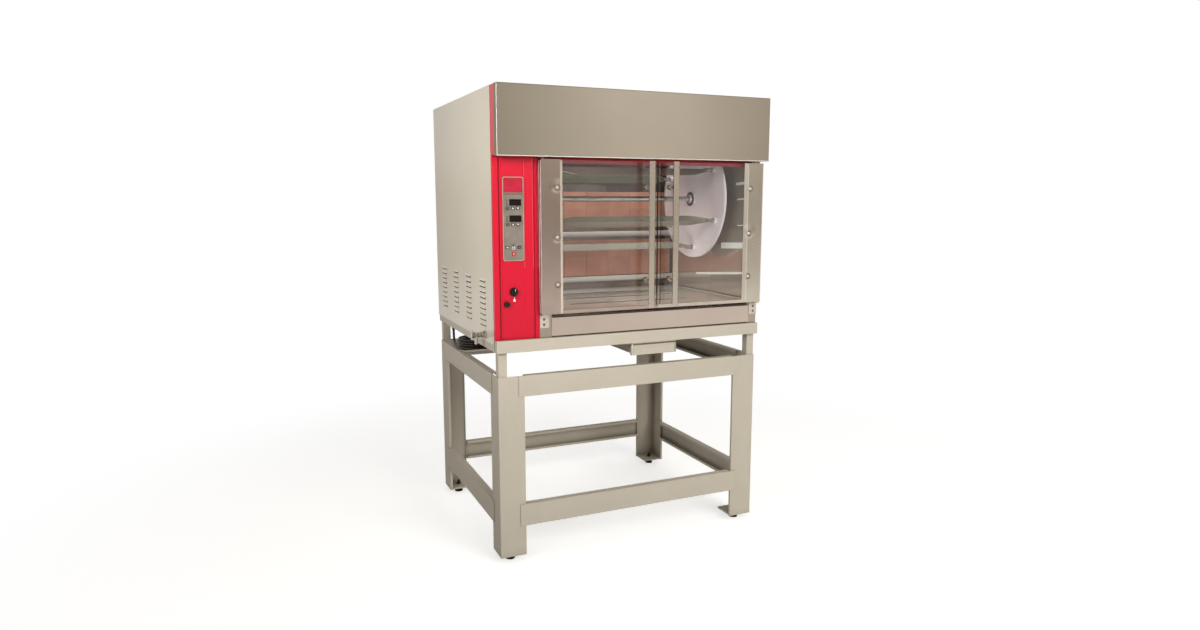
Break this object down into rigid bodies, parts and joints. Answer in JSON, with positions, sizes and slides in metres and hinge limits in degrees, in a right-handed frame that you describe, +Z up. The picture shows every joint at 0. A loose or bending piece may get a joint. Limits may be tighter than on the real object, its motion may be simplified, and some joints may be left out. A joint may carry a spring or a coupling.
{
  "type": "planetary chicken rotisserie",
  "caption": "Floor-standing planetary rotisserie oven with glass doors, geared spits, drip pan and tray, key panel, drain tap and an open stand with levelling feet.",
  "frame": {"origin": "on the floor, centred under the whole part without its cord", "axes": "+X to the right seen from the front, +Y to the back, +Z up; the doors face -Y"},
  "size_m": [1.312, 1.08, 1.952],
  "materials": {
    "cream_paint": "satin",
    "foot_black": "matte",
    "liner_steel": "satin",
    "terracotta": "matte",
    "red_paint": "gloss",
    "front_steel": "satin",
    "control_membrane": "satin",
    "black_plastic": "satin",
    "key_plastic": "satin",
    "clear_glass": "clear",
    "polished_steel": "polished",
    "spit_steel": "polished",
    "gear_steel": "satin",
    "motor_paint": "satin",
    "nickel": "satin",
    "cord_rubber": "matte",
    "plug_plastic": "satin"
  },
  "bodies": {
    "cabinet": {"legs": "cream_paint", "top_rails": "cream_paint", "lower_rails": "cream_paint", "levelling_feet": "foot_black", "base_frame": "cream_paint", "side_panel_left": "cream_paint", "side_panel_right": "cream_paint", "back_panel": "cream_paint", "top_panel": "cream_paint", "cavity_left_wall": "liner_steel", "cavity_right_wall": "liner_steel", "cavity_ceiling": "liner_steel", "cavity_floor": "liner_steel", "cavity_back_wall": "liner_steel", "refractory_tiles": "terracotta", "burner_tubes": "liner_steel", "control_column": "red_paint", "cross_rail": "red_paint", "front_posts": "front_steel", "hood_fascia": "front_steel", "control_plate": "control_membrane", "hinge_brackets": "front_steel", "runners": "liner_steel", "sun_gear": "gear_steel", "gearmotor": "motor_paint", "shaft_bearings": "gear_steel", "drain_tap": "nickel", "cord_tray": "cream_paint", "cord_gland": "black_plastic", "power_cord": "cord_rubber", "cord_coil": "cord_rubber", "power_plug": "plug_plastic"},
    "door_left": {"door_left_frame": "front_steel", "door_left_glass": "clear_glass", "door_left_handle": "front_steel"},
    "door_right": {"door_right_frame": "front_steel", "door_right_glass": "clear_glass", "door_right_handle": "front_steel"},
    "drip_pan": {"drip_pan": "front_steel"},
    "drip_tray": {"drip_tray": "cream_paint"},
    "rotor": {"rotor_shaft": "polished_steel", "rotor_discs": "polished_steel"},
    "spit_1": {"spit_1": "spit_steel"},
    "spit_2": {"spit_2": "spit_steel"},
    "spit_3": {"spit_3": "spit_steel"},
    "spit_4": {"spit_4": "spit_steel"},
    "spit_5": {"spit_5": "spit_steel"},
    "spit_6": {"spit_6": "spit_steel"},
    "selector_knob": {"selector_knob": "black_plastic"},
    "push_button": {"push_button": "black_plastic"},
    "key_1": {"key_1": "key_plastic"},
    "key_2": {"key_2": "key_plastic"},
    "key_3": {"key_3": "key_plastic"},
    "key_4": {"key_4": "key_plastic"},
    "key_5": {"key_5": "key_plastic"},
    "key_6": {"key_6": "key_plastic"},
    "key_7": {"key_7": "key_plastic"},
    "key_8": {"key_8": "key_plastic"},
    "key_9": {"key_9": "key_plastic"},
    "tap_handle": {"tap_handle": "nickel"}
  },
  "joints": [
    {"name": "door_left_hinge", "type": "hinge", "parent": "cabinet", "child": "door_left", "pos_m": [-0.391, -0.472, 1.361], "axis": [0, 0, -1], "range_deg": [0, 95]},
    {"name": "door_right_hinge", "type": "hinge", "parent": "cabinet", "child": "door_right", "pos_m": [0.639, -0.472, 1.361], "axis": [0, 0, 1], "range_deg": [0, 95]},
    {"name": "drip_pan_slide", "type": "slide", "parent": "cabinet", "child": "drip_pan", "axis": [0, -1, 0], "range_m": [0, 0.5]},
    {"name": "drip_tray_slide", "type": "slide", "parent": "cabinet", "child": "drip_tray", "axis": [0, -1, 0], "range_m": [0, 0.4]},
    {"name": "rotor_turn", "type": "hinge", "parent": "cabinet", "child": "rotor", "pos_m": [0, -0.098, 1.515], "axis": [1, 0, 0], "continuous": true},
    {"name": "spit_1_spin", "type": "hinge", "parent": "rotor", "child": "spit_1", "pos_m": [0, -0.28804, 1.64807], "axis": [1, 0, 0], "continuous": true},
    {"name": "spit_2_spin", "type": "hinge", "parent": "rotor", "child": "spit_2", "pos_m": [0, -0.30826, 1.41695], "axis": [1, 0, 0], "continuous": true},
    {"name": "spit_3_spin", "type": "hinge", "parent": "rotor", "child": "spit_3", "pos_m": [0, -0.11822, 1.28388], "axis": [1, 0, 0], "continuous": true},
    {"name": "spit_4_spin", "type": "hinge", "parent": "rotor", "child": "spit_4", "pos_m": [0, 0.09204, 1.38193], "axis": [1, 0, 0], "continuous": true},
    {"name": "spit_5_spin", "type": "hinge", "parent": "rotor", "child": "spit_5", "pos_m": [0, 0.11226, 1.61305], "axis": [1, 0, 0], "continuous": true},
    {"name": "spit_6_spin", "type": "hinge", "parent": "rotor", "child": "spit_6", "pos_m": [0, -0.07778, 1.74612], "axis": [1, 0, 0], "continuous": true},
    {"name": "selector_turn", "type": "hinge", "parent": "cabinet", "child": "selector_knob", "pos_m": [-0.512, -0.4515, 1.145], "axis": [0, 1, 0], "range_deg": [0, 90]},
    {"name": "button_press", "type": "slide", "parent": "cabinet", "child": "push_button", "axis": [0, 1, 0], "range_m": [0, 0.004], "stiffness_N_per_m": 300, "springref_m": -0.004},
    {"name": "key_1_press", "type": "slide", "parent": "cabinet", "child": "key_1", "axis": [0, 1, 0], "range_m": [0, 0.0008], "stiffness_N_per_m": 400, "springref_m": -0.002},
    {"name": "key_2_press", "type": "slide", "parent": "cabinet", "child": "key_2", "axis": [0, 1, 0], "range_m": [0, 0.0008], "stiffness_N_per_m": 400, "springref_m": -0.002},
    {"name": "key_3_press", "type": "slide", "parent": "cabinet", "child": "key_3", "axis": [0, 1, 0], "range_m": [0, 0.0008], "stiffness_N_per_m": 400, "springref_m": -0.002},
    {"name": "key_4_press", "type": "slide", "parent": "cabinet", "child": "key_4", "axis": [0, 1, 0], "range_m": [0, 0.0008], "stiffness_N_per_m": 400, "springref_m": -0.002},
    {"name": "key_5_press", "type": "slide", "parent": "cabinet", "child": "key_5", "axis": [0, 1, 0], "range_m": [0, 0.0008], "stiffness_N_per_m": 400, "springref_m": -0.002},
    {"name": "key_6_press", "type": "slide", "parent": "cabinet", "child": "key_6", "axis": [0, 1, 0], "range_m": [0, 0.0008], "stiffness_N_per_m": 400, "springref_m": -0.002},
    {"name": "key_7_press", "type": "slide", "parent": "cabinet", "child": "key_7", "axis": [0, 1, 0], "range_m": [0, 0.0008], "stiffness_N_per_m": 400, "springref_m": -0.002},
    {"name": "key_8_press", "type": "slide", "parent": "cabinet", "child": "key_8", "axis": [0, 1, 0], "range_m": [0, 0.0008], "stiffness_N_per_m": 400, "springref_m": -0.002},
    {"name": "key_9_press", "type": "slide", "parent": "cabinet", "child": "key_9", "axis": [0, 1, 0], "range_m": [0, 0.0008], "stiffness_N_per_m": 400, "springref_m": -0.002},
    {"name": "tap_turn", "type": "hinge", "parent": "cabinet", "child": "tap_handle", "pos_m": [-0.65, -0.321, 0.958], "axis": [1, 0, 0], "range_deg": [0, 90]}
  ],
  "couplings": [
    {"joint": "spit_1_spin", "follows": "rotor_turn", "ratio": 2.625},
    {"joint": "spit_2_spin", "follows": "rotor_turn", "ratio": 2.625},
    {"joint": "spit_3_spin", "follows": "rotor_turn", "ratio": 2.625},
    {"joint": "spit_4_spin", "follows": "rotor_turn", "ratio": 2.625},
    {"joint": "spit_5_spin", "follows": "rotor_turn", "ratio": 2.625},
    {"joint": "spit_6_spin", "follows": "rotor_turn", "ratio": 2.625}
  ]
}
